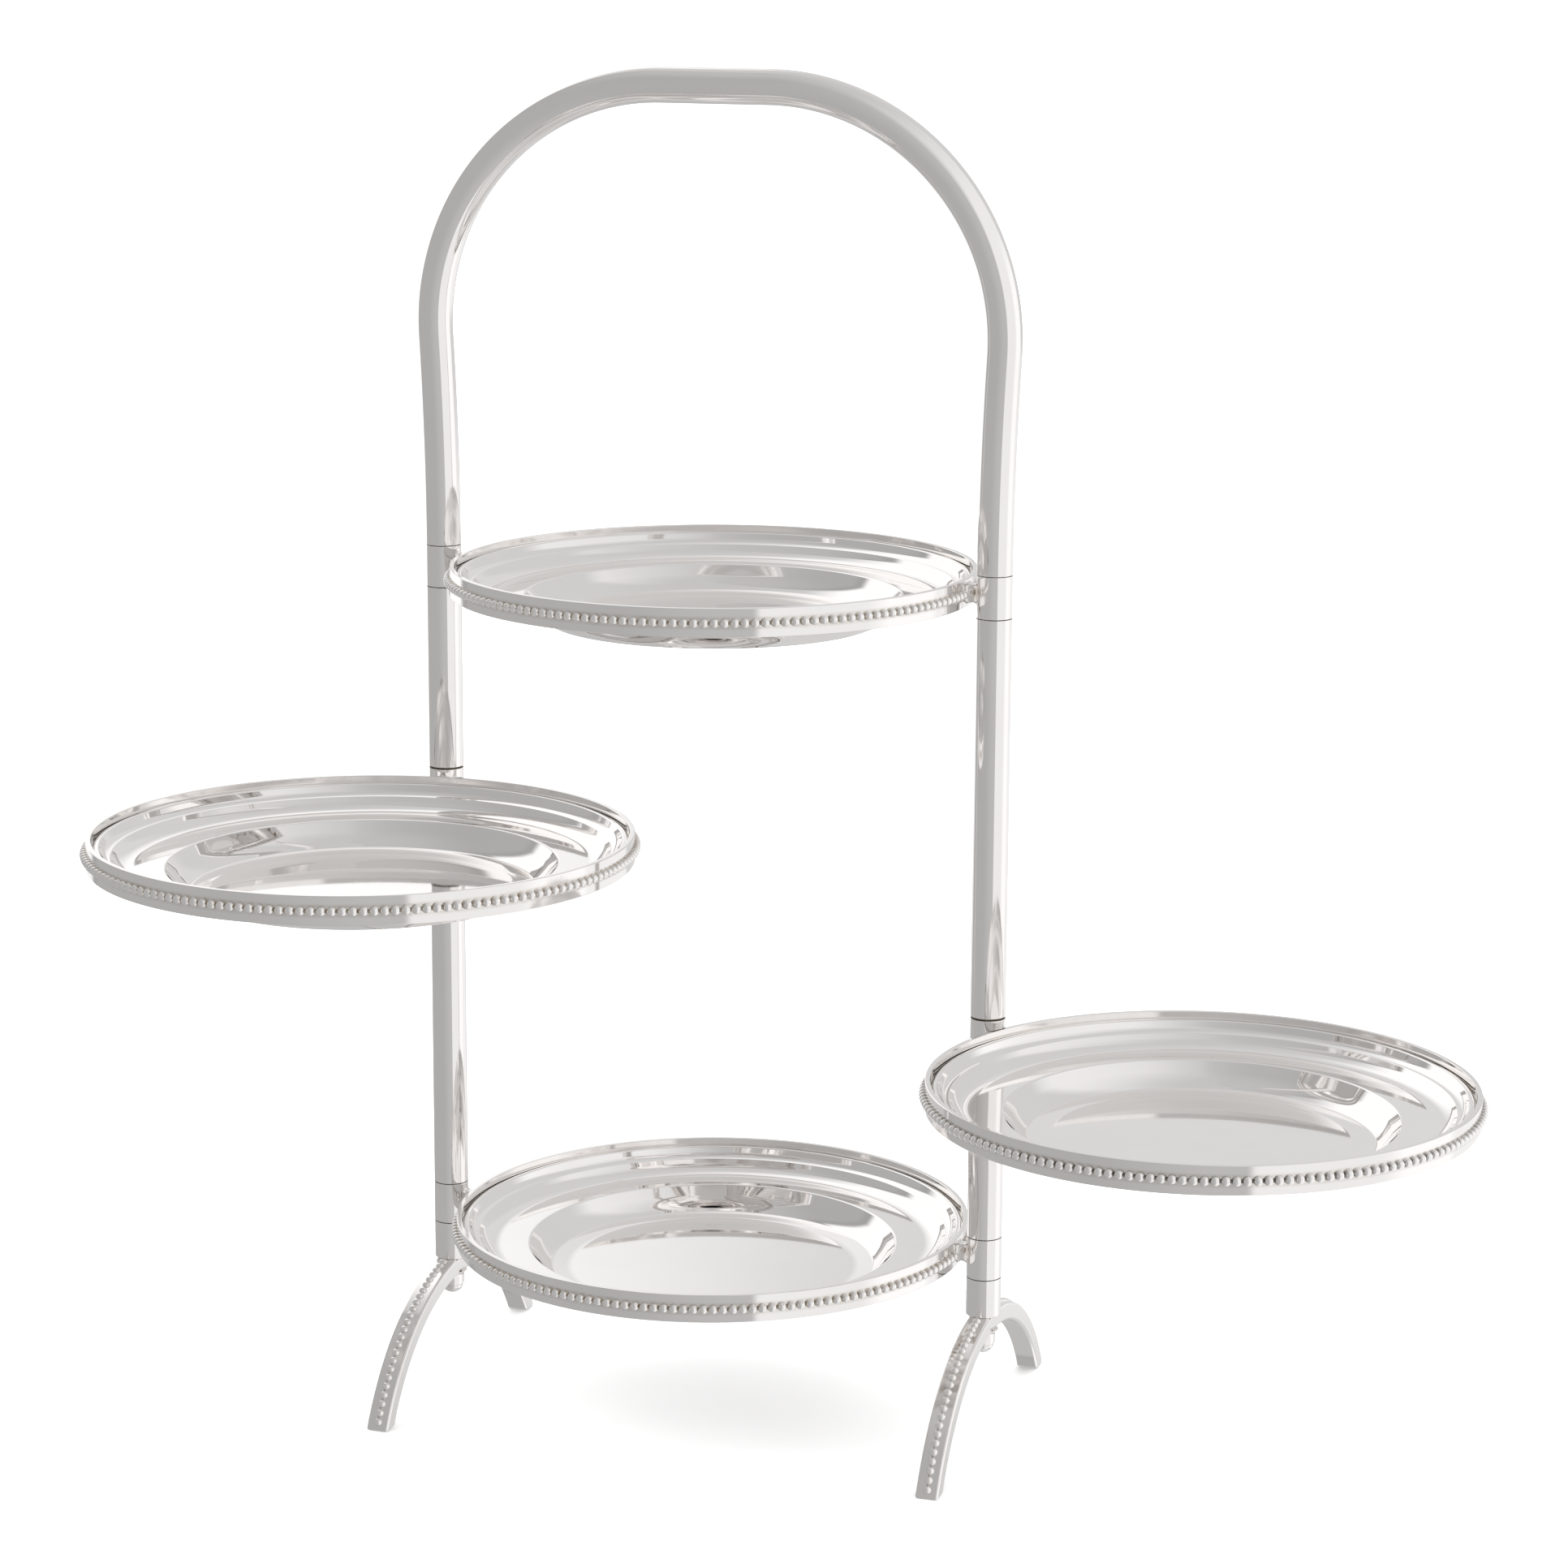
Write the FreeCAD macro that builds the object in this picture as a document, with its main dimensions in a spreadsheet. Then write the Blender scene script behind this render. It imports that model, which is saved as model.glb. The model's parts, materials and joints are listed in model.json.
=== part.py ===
import FreeCAD, Part
import math
import os

import Sketcher
from FreeCAD import Placement, Rotation, Vector

# Four-tier swing-out cake stand. Millimetres, +Z up, feet on Z = 0.
# The origin is the centre of the whole footprint with the two middle tiers swung out.
# Two posts stand side by side along X. Each is a stack of tubes and collars clamped on a rod.
# The top and bottom rings tie the posts together; the left and right rings turn on one post each.

doc = FreeCAD.newDocument("CakeStand")
sheet = doc.addObject("Spreadsheet::Sheet", "Dims")

DIMENSIONS = [
    ("stand_x", -63.0, "middle of the two posts along X"),
    ("stand_y", 65.0, "plane of the two posts along Y"),
    ("post_half", 130.5, "post axis from the middle"),
    ("tube_outer", 8.0, "outer radius of tubes and collars"),
    ("tube_bore", 6.8, "inner radius of the tubes"),
    ("edge_ease", 0.35, "bevel on the tube and collar ends"),
    ("fit_gap", 0.05, "radial clearance of a fixed spigot"),
    ("running_gap", 0.04, "radial clearance of a turning collar"),
    ("rod_radius", 3.0, "tie rod radius"),
    ("rod_bore", 3.15, "clearance bore round the tie rod"),
    ("rod_low", 38.6, "lower end of the tie rods"),
    ("rod_high", 418.0, "upper end of the tie rods"),
    ("collar_tall", 19.2, "collar height"),
    ("top_height", 396.4, "top of the top tier's collars"),
    ("left_height", 292.4, "top of the left tier's collar"),
    ("right_height", 195.4, "top of the right tier's collar"),
    ("bottom_height", 92.4, "top of the bottom tier's collars"),
    ("spigot_long", 8.0, "length of a locating spigot"),
    ("washer_thick", 0.5, "thickness of a thrust washer"),
    ("washer_outer", 7.3, "outer radius of a thrust washer"),
    ("turning_gap", 0.05, "end clearance of a turning collar"),
    ("plug_low", 406.0, "lower face of the arch plugs"),
    ("plug_high", 422.0, "upper face of the arch plugs"),
    ("plug_outer", 6.55, "outer radius of the arch plugs"),
    ("arch_top", 606.0, "height of the handle's centre line"),
    ("arch_bend", 108.0, "centre-line radius of the handle's bends"),
    ("arch_bow", 1800.0, "radius of the outward bow of the handle's legs"),
    ("ring_outer", 118.5, "outer radius of a tier ring"),
    ("ring_inner", 116.1, "inner radius of a tier ring"),
    ("ring_tall", 12.6, "height of a tier ring"),
    ("ring_drop", 2.2, "ring top below the collar top"),
    ("ledge_inner", 113.1, "inner radius of the dish ledge"),
    ("ledge_drop", 5.7, "ledge top below the ring top"),
    ("ledge_thick", 1.4, "thickness of the dish ledge"),
    ("bead_centre", 119.0, "radius of the bead moulding's centre line"),
    ("bead_section", 2.05, "section radius of the bead moulding"),
    ("bead_gap", 3.0, "angle left plain either side of a collar, in degrees"),
    ("lug_wide", 9.0, "width of the lug between ring and collar"),
    ("lug_tall", 11.0, "height of the lug"),
    ("lug_drop", 0.8, "lug top below the ring top"),
    ("swing_left", 276.0, "direction of the left ring from its post, in degrees"),
    ("swing_right", -30.4, "direction of the right ring from its post, in degrees"),
    ("dish_outer", 115.2, "outer radius of a dish"),
    ("brim_outer", 103.0, "outer radius of the flat brim"),
    ("well_edge", 85.5, "radius of the edge of the well"),
    ("well_floor", 74.5, "radius of the foot of the well's wall"),
    ("rim_drop", 3.2, "dish rim below the ring top"),
    ("brim_drop", 13.6, "flat brim below the ring top"),
    ("floor_drop", 25.4, "floor of the well below the ring top"),
    ("dish_thick", 1.0, "sheet thickness of a dish"),
    ("leg_centre", -50.4, "height of the centre of the leg arcs"),
    ("leg_outer", 106.0, "outer radius of the leg arch"),
    ("leg_inner", 97.7, "inner radius of the leg arch"),
    ("leg_wide", 10.4, "width of the leg bar"),
    ("leg_rib", 1.6, "section radius of the bead row on the leg"),
    ("seat_height", 55.2, "height of the seat cut for the stub tube"),
    ("seat_radius", 8.3, "radius of the seat cut"),
    ("boss_radius", 5.6, "radius of the boss below the leg crown"),
    ("boss_low", 41.5, "lower face of the boss"),
    ("nut_outer", 5.0, "radius of the domed nut"),
    ("nut_shoulder", 39.9, "height where the nut's dome starts"),
    ("nut_low", 36.8, "lowest point of the domed nut"),
]
for row, (alias, value, note) in enumerate(DIMENSIONS, start=1):
    sheet.set("A%d" % row, alias)
    sheet.set("B%d" % row, str(value))
    sheet.set("C%d" % row, note)
    sheet.setAlias("B%d" % row, alias)
doc.recompute()

ALIASES = [alias for alias, _, _ in DIMENSIONS]
FULL_TURN = 360.0

# Where a piece's own axis stands: offsets from the middle of the stand, as expressions.
SWUNG_X = "{post} + post_half * cos( swing_{side} )"
SWUNG_Y = "post_half * sin( swing_{side} )"
PLACES = {
    "middle": ("0", "0"),
    "left_post": ("-1 * post_half", "0"),
    "right_post": ("post_half", "0"),
    "left_ring": (SWUNG_X.format(post="-1 * post_half", side="left"), SWUNG_Y.format(side="left")),
    "right_ring": (SWUNG_X.format(post="post_half", side="right"), SWUNG_Y.format(side="right")),
}
# Each tier: the place of its ring, and the directions from the ring's centre to its collars.
TIERS = {
    "top": ("middle", ["0", "180"]),
    "left": ("left_ring", ["swing_left - 180"]),
    "right": ("right_ring", ["swing_right - 180"]),
    "bottom": ("middle", ["0", "180"]),
}
pieces = []


def dims(text):
    """Expression in which every dimension name points at the sheet."""
    return " ".join("Dims." + word if word in ALIASES else word for word in text.split(" "))


def size(alias):
    return float(sheet.get(alias))


def total(text):
    """Number that a sum of dimension names and plain numbers gives."""
    words = [size(word) if word in ALIASES else word for word in text.split(" ")]
    signs = [1] + [1 if word == "+" else -1 for word in words[1::2]]
    return sum(sign * float(word) for sign, word in zip(signs, words[0::2]))


def bind(piece, **properties):
    """Bind properties such as Radius or Height to expressions of dimension names."""
    for name, text in properties.items():
        piece.setExpression(name, dims(text))
    return piece


def stand_at(piece, place):
    along_x, along_y = PLACES[place]
    piece.setExpression("Placement.Base.x", dims("stand_x + " + along_x))
    piece.setExpression("Placement.Base.y", dims("stand_y + " + along_y))


def keep(piece, label, place):
    """Label a finished piece, put it in its place and list it for export."""
    piece.Label = label
    stand_at(piece, place)
    pieces.append(piece)
    return piece


def new_sketch(body, name, plane):
    """Sketch on one of the body's own origin planes."""
    sketch = body.newObject("Sketcher::SketchObject", name)
    roles = {item.Role: item for item in body.Origin.OriginFeatures}
    sketch.AttachmentSupport = [(roles[plane], "")]
    sketch.MapMode = "FlatFace"
    return sketch


def fix(sketch, kind, text, *where):
    """Dimension constraint whose value is a sum of dimension names."""
    number = sketch.addConstraint(Sketcher.Constraint(kind, *where, total(text)))
    sketch.setExpression("Constraints[%d]" % number, dims(text))


def revolve(body, sketch, label):
    turn = body.newObject("PartDesign::Revolution", label + "_turn")
    turn.Profile = sketch
    turn.ReferenceAxis = (sketch, ["V_Axis"])
    turn.Angle = FULL_TURN


def turned(label, place, outline):
    """Solid of revolution. Each corner of the outline is a radius and a height."""
    body = doc.addObject("PartDesign::Body", label)
    sketch = new_sketch(body, label + "_section", "XZ_Plane")
    corners = [Vector(total(radius), total(height), 0) for radius, height in outline]
    following = corners[1:] + corners[:1]
    for start, end in zip(corners, following):
        sketch.addGeometry(Part.LineSegment(start, end), False)
    for line in range(len(corners)):
        after = (line + 1) % len(corners)
        sketch.addConstraint(Sketcher.Constraint("Coincident", line, 2, after, 1))
    for line, (radius, height) in enumerate(outline):
        fix(sketch, "DistanceX", radius, -1, 1, line, 1)
        fix(sketch, "DistanceY", height, -1, 1, line, 1)
    revolve(body, sketch, label)
    return keep(body, label, place)


def tube(label, place, low, high):
    """Plain tube between two heights, with eased ends."""
    outline = [
        ("tube_bore", low),
        ("tube_outer - edge_ease", low),
        ("tube_outer", low + " + edge_ease"),
        ("tube_outer", high + " - edge_ease"),
        ("tube_outer - edge_ease", high),
        ("tube_bore", high),
    ]
    turned(label, place, outline)


def fixed_collar(label, place, top):
    """Collar with a locating spigot at each end, bored for the tie rod."""
    low = top + " - collar_tall"
    spigot = "tube_bore - fit_gap"
    outline = [
        ("rod_bore", low + " - spigot_long"),
        (spigot, low + " - spigot_long"),
        (spigot, low),
        ("tube_outer - edge_ease", low),
        ("tube_outer", low + " + edge_ease"),
        ("tube_outer", top + " - edge_ease"),
        ("tube_outer - edge_ease", top),
        (spigot, top),
        (spigot, top + " + spigot_long"),
        ("rod_bore", top + " + spigot_long"),
    ]
    turned(label, place, outline)


def turning_collar(label, place, top):
    """Sleeve that turns on the spindle between two washers."""
    low = top + " - collar_tall + turning_gap"
    high = top + " - turning_gap"
    bore = "tube_bore - fit_gap + running_gap"
    outline = [
        (bore, low),
        ("tube_outer - edge_ease", low),
        ("tube_outer", low + " + edge_ease"),
        ("tube_outer", high + " - edge_ease"),
        ("tube_outer - edge_ease", high),
        (bore, high),
    ]
    turned(label, place, outline)


def plain_ring(label, place, inner, outer, low, high):
    """Turned piece with a rectangular section."""
    turned(label, place, [(inner, low), (outer, low), (outer, high), (inner, high)])


def post(side):
    """One post, from the arch down to the stub tube, with the side's turning collar."""
    place = side + "_post"
    pivot_top = side + "_height"
    pivot_low = pivot_top + " - collar_tall"
    spigot = "tube_bore - fit_gap"
    fixed_collar("top_collar_" + side, place, "top_height")
    tube("upper_tube_" + side, place, pivot_top + " + washer_thick", "top_height - collar_tall")
    turning_collar("pivot_collar_" + side, place, pivot_top)
    tube("lower_tube_" + side, place, "bottom_height", pivot_low + " - washer_thick")
    fixed_collar("bottom_collar_" + side, place, "bottom_height")
    tube("stub_tube_" + side, place, "seat_height", "bottom_height - collar_tall")
    plain_ring(
        "pivot_spindle_" + side,
        place,
        "rod_bore",
        spigot,
        pivot_low + " - spigot_long",
        pivot_top + " + spigot_long",
    )
    for word, low in (("upper", pivot_top), ("lower", pivot_low + " - washer_thick")):
        name = word + "_washer_" + side
        plain_ring(name, place, "tube_bore", "washer_outer", low, low + " + washer_thick")


def domed_nut(label, place):
    """Blind nut below the leg: a straight collar that ends in a dome."""
    body = doc.addObject("PartDesign::Body", label)
    sketch = new_sketch(body, label + "_section", "XZ_Plane")
    outer, low, shoulder = size("nut_outer"), size("nut_low"), size("nut_shoulder")
    rise = shoulder - low
    dome = (outer ** 2 + rise ** 2) / (2 * rise)
    half_angle = math.asin(outer / dome) / 2
    on_dome = Vector(dome * math.sin(half_angle), low + dome * (1 - math.cos(half_angle)), 0)
    outline = [
        ("0", "nut_low"),
        ("0", "rod_low"),
        ("rod_radius", "rod_low"),
        ("rod_radius", "boss_low"),
        ("nut_outer", "boss_low"),
        ("nut_outer", "nut_shoulder"),
    ]
    corners = [Vector(total(radius), total(height), 0) for radius, height in outline]
    for start, end in zip(corners, corners[1:]):
        sketch.addGeometry(Part.LineSegment(start, end), False)
    sketch.addGeometry(Part.Arc(corners[-1], on_dome, corners[0]), False)
    revolve(body, sketch, label)
    keep(body, label, place)


def clamp(side):
    """What holds one post together: plug in the arch, tie rod, nut below the leg."""
    place = side + "_post"
    plain_ring("arch_plug_" + side, place, "rod_radius", "plug_outer", "plug_low", "plug_high")
    rod = doc.addObject("Part::Cylinder", "tie_rod_" + side)
    bind(rod, Radius="rod_radius", Height="rod_high - rod_low")
    rod.setExpression("Placement.Base.z", "Dims.rod_low")
    keep(rod, "tie_rod_" + side, place)
    domed_nut("domed_nut_" + side, place)


def upright(name, radius, low, high):
    """Cylinder on the Z axis between two heights."""
    piece = doc.addObject("Part::Cylinder", name)
    bind(piece, Radius=radius, Height=high + " - " + low)
    piece.setExpression("Placement.Base.z", dims(low))
    return piece


def across(kind, name):
    """Part primitive whose own axis lies along X, at the centre of the leg arcs."""
    piece = doc.addObject(kind, name)
    piece.Placement = Placement(Vector(0, 0, 0), Rotation(Vector(0, 1, 0), 90))
    piece.setExpression("Placement.Base.z", "Dims.leg_centre")
    return piece


def cut_from(name, base, tool):
    cut = doc.addObject("Part::Cut", name)
    cut.Base = base
    cut.Tool = tool
    return cut


def joined(name, shapes):
    fuse = doc.addObject("Part::MultiFuse", name)
    fuse.Shapes = shapes
    return fuse


def leg(side):
    """Cast leg arch, front to back, with its bead row, its boss and the stub tube's seat.

    The shapes that cut it reach well past the casting on every side.
    """
    end = "_" + side
    arch = bind(across("Part::Cylinder", "leg_disc" + end), Radius="leg_outer", Height="leg_wide")
    arch.setExpression("Placement.Base.x", "-Dims.leg_wide / 2")
    hollow = bind(across("Part::Cylinder", "leg_hollow" + end), Radius="leg_inner")
    hollow.setExpression("Height", "2 * Dims.leg_wide")
    hollow.setExpression("Placement.Base.x", "-Dims.leg_wide")
    rib = bind(across("Part::Torus", "leg_rib" + end), Radius1="leg_outer", Radius2="leg_rib")
    boss = upright("leg_boss" + end, "boss_radius", "boss_low", "seat_height")
    bar = cut_from("leg_bar" + end, arch, hollow)
    rib_outside = cut_from("leg_row" + end, rib, doc.copyObject(hollow))
    casting = joined("leg_casting" + end, [bar, rib_outside, boss])

    ground = doc.addObject("Part::Box", "leg_ground" + end)
    bind(ground, Length="4 * leg_wide", Width="4 * leg_outer", Height="2 * leg_outer")
    ground.setExpression("Placement.Base.x", "-2 * Dims.leg_wide")
    ground.setExpression("Placement.Base.y", "-2 * Dims.leg_outer")
    ground.setExpression("Placement.Base.z", "-2 * Dims.leg_outer")
    seat = upright("leg_seat" + end, "seat_radius", "seat_height", "bottom_height")
    hole = upright("leg_hole" + end, "rod_bore", "nut_low", "bottom_height")
    waste = joined("leg_waste" + end, [ground, seat, hole])
    keep(cut_from("leg_" + side, casting, waste), "leg_" + side, side + "_post")


def ring(tier):
    """Holder ring: a plain band with a narrow ledge inside that the dish sits on."""
    top = tier + "_height - ring_drop"
    ledge = top + " - ledge_drop"
    outline = [
        ("ring_inner", top),
        ("ring_outer - edge_ease", top),
        ("ring_outer", top + " - edge_ease"),
        ("ring_outer", top + " - ring_tall + edge_ease"),
        ("ring_outer - edge_ease", top + " - ring_tall"),
        ("ring_inner", top + " - ring_tall"),
        ("ring_inner", ledge + " - ledge_thick"),
        ("ledge_inner", ledge + " - ledge_thick"),
        ("ledge_inner", ledge),
        ("ring_inner", ledge),
    ]
    turned(tier + "_ring", TIERS[tier][0], outline)


def turn_to(piece, direction):
    """Turn a piece about Z; the direction is an expression in degrees."""
    piece.Placement = Placement(piece.Placement.Base, Rotation(Vector(0, 0, 1), 0))
    piece.setExpression("Placement.Rotation.Angle", dims(direction))


def bead_trim(tier):
    """Half-round moulding round the band, left plain at each collar."""
    place, directions = TIERS[tier]
    label = tier + "_bead_trim"
    sweep = "%g - 2 * bead_gap" % (FULL_TURN / len(directions))
    lengths = []
    for number, direction in enumerate(directions):
        length = doc.addObject("Part::Torus", "%s_length_%d" % (label, number))
        bind(length, Radius1="bead_centre", Radius2="bead_section", Angle3=sweep)
        length.setExpression("Placement.Base.z", middle_of_band(tier))
        turn_to(length, direction + " + bead_gap")
        lengths.append(length)
    wire = joined(label + "_wire", lengths) if len(lengths) > 1 else lengths[0]
    band = doc.addObject("Part::Cylinder", label + "_band")
    bind(band, Radius="ring_outer", Height="2 * ring_tall")
    band.setExpression("Placement.Base.z", middle_of_band(tier) + " - Dims.ring_tall")
    keep(cut_from(label, wire, band), label, place)


def middle_of_band(tier):
    return dims(tier + "_height - ring_drop - ring_tall / 2")


def lugs(tier):
    """Brazed lug that fills the gap between the band and each of its collars."""
    place, directions = TIERS[tier]
    label = tier + "_lugs" if len(directions) > 1 else tier + "_lug"
    top = tier + "_height - ring_drop - lug_drop"
    blocks = []
    for number, direction in enumerate(directions):
        name = "%s_%d" % (label, number)
        block = doc.addObject("Part::Box", name + "_block")
        bind(block, Length="post_half - ring_inner", Width="lug_wide", Height="lug_tall")
        block.setExpression("Placement.Base.x", "Dims.ring_inner")
        block.setExpression("Placement.Base.y", "-Dims.lug_wide / 2")
        block.setExpression("Placement.Base.z", dims(top + " - lug_tall"))
        band = upright(name + "_band", "ring_outer", top + " - ring_tall", top)
        band.setExpression("Height", "2 * Dims.ring_tall")
        collar = upright(name + "_collar", "tube_outer", top + " - ring_tall", top)
        collar.setExpression("Height", "2 * Dims.ring_tall")
        collar.setExpression("Placement.Base.x", "Dims.post_half")
        block = cut_from(name + "_lug", block, joined(name + "_waste", [band, collar]))
        turn_to(block, direction)
        blocks.append(block)
    piece = joined(label, blocks) if len(blocks) > 1 else blocks[0]
    keep(piece, label, place)


def dish(tier):
    """Lift-out dish: rolled rim, stepped cove, flat brim and a round well.

    Each corner is a radius and a drop below the ring top, first along the face, then the back.
    """
    face = [
        ("0", "floor_drop"),
        ("well_floor - 8.5", "floor_drop"),
        ("well_floor", "floor_drop - 1.2"),
        ("well_edge - 6.2", "floor_drop - 4.6"),
        ("well_edge - 1.0", "brim_drop + 1.0"),
        ("well_edge", "brim_drop + 0.2"),
        ("brim_outer - 5.2", "brim_drop"),
        ("brim_outer - 0.4", "brim_drop - 1.0"),
        ("brim_outer + 3.6", "brim_drop - 3.9"),
        ("brim_outer + 5.4", "brim_drop - 5.6"),
        ("brim_outer + 7.6", "brim_drop - 6.4"),
        ("dish_outer - 2.2", "rim_drop + 1.2"),
        ("dish_outer - 1.2", "rim_drop"),
        ("dish_outer", "rim_drop + 0.8"),
        ("dish_outer", "rim_drop + 1.8"),
        ("dish_outer - 0.8", "rim_drop + 2.4"),
        ("dish_outer - 2.4", "rim_drop + 2.4"),
    ]
    back = [
        ("brim_outer + 8.2", "brim_drop - 5.4"),
        ("brim_outer + 6.2", "brim_drop - 4.7"),
        ("brim_outer + 4.3", "brim_drop - 3.2"),
        ("brim_outer", "brim_drop - 0.1"),
        ("brim_outer - 5.2", "brim_drop + dish_thick"),
        ("well_edge + 0.7", "brim_drop + dish_thick"),
        ("well_edge - 0.1", "brim_drop + 2.0"),
        ("well_edge - 5.5", "floor_drop - 3.9"),
        ("well_floor + 0.7", "floor_drop - 0.3"),
        ("well_floor - 8.3", "floor_drop + dish_thick"),
        ("0", "floor_drop + dish_thick"),
    ]
    top = tier + "_height - ring_drop - "
    outline = [(radius, top + flipped(drop)) for radius, drop in face + back]
    turned(tier + "_dish", TIERS[tier][0], outline)


def flipped(text):
    """The sum with the signs after its first term swapped, for taking it away."""
    first, *rest = text.split(" ")
    return " ".join([first] + [{"+": "-", "-": "+"}.get(word, word) for word in rest])


def arch_handle():
    """Bent tube over both posts: two slightly bowed legs, two bends and a short straight top."""
    body = doc.addObject("PartDesign::Body", "arch_handle")
    path = new_sketch(body, "arch_path", "XZ_Plane")
    half, foot, crown = size("post_half"), size("top_height"), size("arch_top")
    bend, bow = size("arch_bend"), size("arch_bow")
    bend_centre_z = crown - bend
    leg_end_z = (bend_centre_z + foot * bend / bow) / (1 + bend / bow)
    tilt = math.asin((leg_end_z - foot) / bow)
    leg_end_x = half + bow * (1 - math.cos(tilt))
    bend_centre_x = leg_end_x - bend * math.cos(tilt)

    def on_circle(centre_x, centre_z, radius, angle, side):
        across_x = centre_x + radius * math.cos(angle)
        return Vector(side * across_x, centre_z + radius * math.sin(angle), 0)

    for side in (-1, 1):
        leg_points = [
            on_circle(half + bow, foot, -bow, -angle, side) for angle in (0, tilt / 2, tilt)
        ]
        bend_angles = (-tilt, math.pi / 4, math.pi / 2)
        bend_points = [
            on_circle(bend_centre_x, bend_centre_z, bend, angle, side) for angle in bend_angles
        ]
        path.addGeometry(Part.Arc(*leg_points), False)
        path.addGeometry(Part.Arc(*bend_points), False)
    top_left = Vector(-bend_centre_x, crown, 0)
    top_right = Vector(bend_centre_x, crown, 0)
    path.addGeometry(Part.LineSegment(top_left, top_right), False)

    section = new_sketch(body, "arch_section", "XY_Plane")
    section.AttachmentOffset = Placement(Vector(0, 0, foot), Rotation())
    section.setExpression("AttachmentOffset.Base.z", "Dims.top_height")
    for number, radius in enumerate(("tube_outer", "tube_bore")):
        circle = Part.Circle(Vector(-half, 0, 0), Vector(0, 0, 1), size(radius))
        section.addGeometry(circle, False)
        fix(section, "Radius", radius, number)
        section.addConstraint(Sketcher.Constraint("PointOnObject", number, 3, -1))
        fix(section, "DistanceX", "post_half", number, 3, -1, 1)
    pipe = body.newObject("PartDesign::AdditivePipe", "arch_pipe")
    pipe.Profile = section
    pipe.Spine = path
    keep(body, "arch_handle", "middle")


arch_handle()
for side in ("left", "right"):
    post(side)
    clamp(side)
    leg(side)
for tier in TIERS:
    ring(tier)
    bead_trim(tier)
    lugs(tier)
    dish(tier)
doc.recompute()

for item in doc.Objects:
    if "Invalid" in item.State or "Error" in item.State:
        raise RuntimeError("%s did not recompute: %s" % (item.Label, item.State))
os.makedirs("parts", exist_ok=True)
for piece in pieces:
    if piece.Shape.isNull() or not piece.Shape.isValid():
        raise RuntimeError("%s has no valid shape" % piece.Label)
    piece.Shape.exportStep("parts/%s.step" % piece.Label)
    print(piece.Label, len(piece.Shape.Solids), round(piece.Shape.Volume, 1))
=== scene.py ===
import cmath
import json
import math

import bpy
import numpy as np
from mathutils import Matrix, Vector


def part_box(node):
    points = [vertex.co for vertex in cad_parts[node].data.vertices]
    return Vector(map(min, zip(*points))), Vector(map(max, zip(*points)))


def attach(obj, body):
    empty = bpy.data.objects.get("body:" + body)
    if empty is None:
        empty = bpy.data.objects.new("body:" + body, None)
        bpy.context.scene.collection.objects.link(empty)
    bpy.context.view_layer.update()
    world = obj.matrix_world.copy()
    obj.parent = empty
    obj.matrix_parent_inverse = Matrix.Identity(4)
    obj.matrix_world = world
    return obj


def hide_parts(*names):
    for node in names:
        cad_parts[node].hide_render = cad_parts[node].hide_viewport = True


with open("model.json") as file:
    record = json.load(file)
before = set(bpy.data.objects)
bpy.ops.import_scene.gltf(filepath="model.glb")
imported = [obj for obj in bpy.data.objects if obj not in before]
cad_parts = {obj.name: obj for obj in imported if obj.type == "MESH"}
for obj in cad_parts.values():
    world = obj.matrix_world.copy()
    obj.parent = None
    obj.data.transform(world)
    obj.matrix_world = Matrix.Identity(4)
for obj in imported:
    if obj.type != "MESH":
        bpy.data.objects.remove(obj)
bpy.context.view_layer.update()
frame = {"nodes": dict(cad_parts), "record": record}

# Four-tier swing-out cake stand in polished silver plate. Every visible silver piece is built
# here as a closed mesh in the place of its CAD node, and all but the lugs have exact normals.
# The rods, plugs, spindles and washers stay as CAD nodes. Shape sizes are in millimetres,
# scaled by MM.
MM = 0.001
BODY_OF = {
    node: body for body, nodes in frame["record"]["behaviour"]["bodies"].items() for node in nodes
}
SIDES = ("left", "right")
TIERS = ("top", "left", "right", "bottom")

# Turned pieces
EDGE_ROUND = 0.38
LONGEST_STEP = 8.0
POST_SEGMENTS = 96
TIER_SEGMENTS = 288
CAST_SEGMENTS = 64
TUBE_OUTER = 8.0
TUBE_BORE = 6.8
TURNING_BORE = 6.79
END_PLAIN = 1.2
SPIGOT = 6.74
SPIGOT_LONG = 8.0
ROD_BORE = 3.15
JOINT_STAIN_AND_SHADE = 1.3

# Domed nuts
NUT_OUTER = 5.0
NUT_BORE = 3.0
NUT_SHOULDER = 39.9
NUT_CLOSED = 1.8

# Tier rings and their bead rows
BAND_THICK = 2.4
LEDGE_WIDE = 3.0
LEDGE_DROP = 5.7
LEDGE_THICK = 1.4
BEAD_RADIUS = 2.05
BEAD_STAND = 0.5
BEAD_PITCH = 4.33
BEAD_NECK = 0.7
BEAD_GAP = math.radians(3.0)

# Lugs between the rings and the collars
LUG_WIDE = 9.0
LUG_TALL = 11.0
LUG_DROP = 0.8
LUG_FLARE = 1.3
LUG_ROUND = 1.6
LUG_SUNK = 0.5
LUG_COLLAR = 7.5

# Legs
LEG_RADIUS = 106.0
LEG_THICK = 8.3
LEG_WIDE = 10.4
LEG_CENTRE = -50.4
LEG_ARRIS = 1.2
LEG_BEAD = 1.95
LEG_BEAD_LINE = 105.65
LEG_PITCH = 4.2
LEG_CROWN_GAP = math.radians(4.9)
LEG_SOLE_GAP = math.radians(1.1)
FOOT_ROUND = 1.1
LEG_STAIN = 0.12
BOSS_RADIUS = 5.6
BOSS_LOW = 41.5

# Handle
ARCH_BEND = 108.0
ARCH_BOW = 1800.0

# Camera
CAMERA_PLACE = (0.5362, -1.7016, 0.6960)
CAMERA_YAW = 17.75
CAMERA_PITCH = 12.185
CAMERA_ROLL = 0.298
CAMERA_LENS = 96.54


def middle(node):
    low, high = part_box(node)
    return (low + high) / 2


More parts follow.
